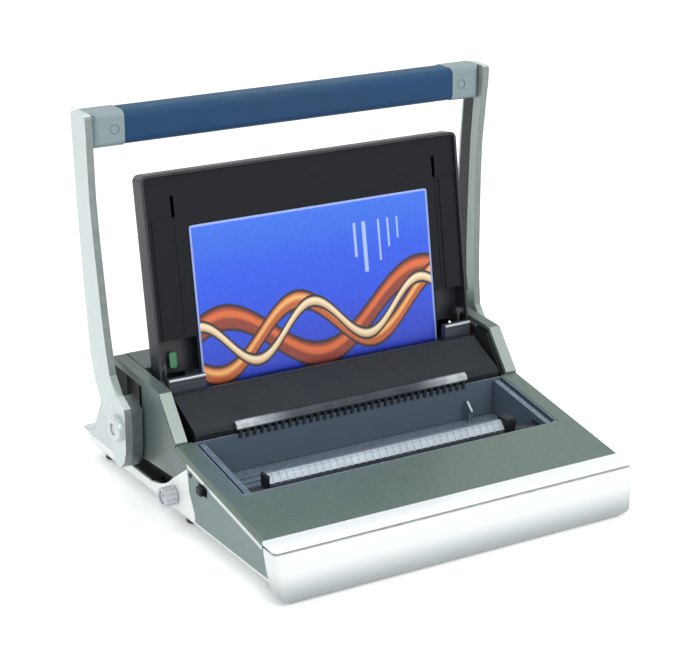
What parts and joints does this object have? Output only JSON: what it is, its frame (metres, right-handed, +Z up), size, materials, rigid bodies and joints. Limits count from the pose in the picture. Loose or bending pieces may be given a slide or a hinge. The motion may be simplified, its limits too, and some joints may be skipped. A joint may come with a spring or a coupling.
{
  "type": "wire binding machine",
  "caption": "Desktop wire binding machine: sloping deck with a wire-closing well, punch housing between cheeks, hinged lid with a printed guide card, tall U-shaped punching handle.",
  "frame": {"origin": "centre of the overall footprint, on the table surface under the feet, handle upright and lid open", "axes": "+X to the right of a person facing the front, +Y to the back, +Z up"},
  "size_m": [0.4968, 0.452, 0.4187],
  "materials": {
    "white_plastic": "fine satin texture",
    "white_gloss": "gloss moulded",
    "foot_rubber": "matte",
    "steel": "bright",
    "tool_steel": "ground",
    "dark_metal": "black paint",
    "olive_metal": "metallic grey-green paint",
    "silver_trim": "satin",
    "blue_grey_plastic": "satin",
    "dark_plastic": "fine texture",
    "black_plastic": "fine texture",
    "bay_plastic": "fine texture",
    "bronze": "sintered",
    "arm_silver": "silver paint",
    "corner_grey": "satin",
    "blue_grip": "soft touch",
    "lid_black": "fine texture",
    "lid_inner": "fine texture",
    "printed_card": "printed card, satin",
    "dial_grey": "satin",
    "green_plastic": "gloss"
  },
  "bodies": {
    "base": {"base_tray": "white_plastic", "rubber_feet": "foot_rubber", "foot_screws": "steel", "front_fascia": "white_gloss", "nose_trim": "white_gloss", "deck_cover": "olive_metal", "deck_edge_strips": "silver_trim", "side_panel_left": "blue_grey_plastic", "side_panel_right": "blue_grey_plastic", "panel_screws": "steel", "well_tray": "dark_plastic", "closer_anvil": "dark_metal", "wire_end_stop": "steel", "paper_rest": "black_plastic", "wire_comb_rail": "steel", "rear_guide_rail": "black_plastic", "die_plate": "tool_steel", "punch_guide_plate": "tool_steel", "throat_spacer": "dark_metal", "punch_guides": "tool_steel", "side_frame_left": "dark_metal", "side_frame_right": "dark_metal", "shaft_bushes": "bronze", "frame_rails": "dark_metal", "bay_liners": "bay_plastic", "cheek_left": "olive_metal", "cheek_right": "olive_metal", "cheek_trims": "silver_trim", "rear_roof": "olive_metal", "rear_cover": "blue_grey_plastic", "lid_hinge_pins": "steel", "rail_end_strips": "steel", "dial_boss": "white_plastic", "return_springs": "steel"},
    "handle": {"handle_arm_left": "arm_silver", "handle_arm_right": "arm_silver", "arm_liners": "dark_plastic", "hub_caps": "arm_silver", "hub_bolts": "steel", "cross_shaft": "steel", "punch_cams": "tool_steel", "closer_cams": "tool_steel", "handle_corners": "corner_grey", "crossbar_tube": "steel", "handle_grip": "blue_grip"},
    "punch": {"pressure_bar": "tool_steel", "punch_pins": "tool_steel"},
    "closer": {"closing_bar": "silver_trim", "closing_bar_ends": "black_plastic", "closer_carrier": "dark_metal", "closer_push_rods": "dark_metal"},
    "lid": {"lid_shell": "lid_black", "lid_liner": "lid_inner", "guide_card": "printed_card", "lid_bumpers": "foot_rubber", "corner_clip": "green_plastic"},
    "drawer": {"waste_drawer": "white_plastic"},
    "size_dial": {"wire_size_dial": "dial_grey"},
    "margin": {"margin_lever": "dark_plastic"}
  },
  "joints": [
    {"name": "handle_swing", "type": "hinge", "parent": "base", "child": "handle", "pos_m": [0, 0.078, 0.087], "axis": [1, 0, 0], "range_deg": [0, 95]},
    {"name": "punch_slide", "type": "slide", "parent": "base", "child": "punch", "axis": [0, -1, 0], "range_m": [0, 0.00902], "deforming": ["return_springs"]},
    {"name": "closer_slide", "type": "slide", "parent": "base", "child": "closer", "axis": [0, -1, 0], "range_m": [0, 0.00802]},
    {"name": "lid_hinge", "type": "hinge", "parent": "base", "child": "lid", "pos_m": [0, 0.072, 0.146], "axis": [1, 0, 0], "range_deg": [0, 116.2]},
    {"name": "drawer_slide", "type": "slide", "parent": "base", "child": "drawer", "axis": [1, 0, 0], "range_m": [0, 0.2]},
    {"name": "dial_turn", "type": "hinge", "parent": "base", "child": "size_dial", "pos_m": [-0.2, -0.007, 0.0375], "axis": [-1, 0, 0], "range_deg": [0, 270]},
    {"name": "margin_slide", "type": "slide", "parent": "base", "child": "margin", "axis": [0, 1, 0], "range_m": [-0.0055, 0.0055]}
  ],
  "couplings": [
    {"joint": "punch_slide", "follows": "handle_swing", "m_per_rad": 0.005428},
    {"joint": "closer_slide", "follows": "handle_swing", "m_per_rad": 0.004825}
  ]
}
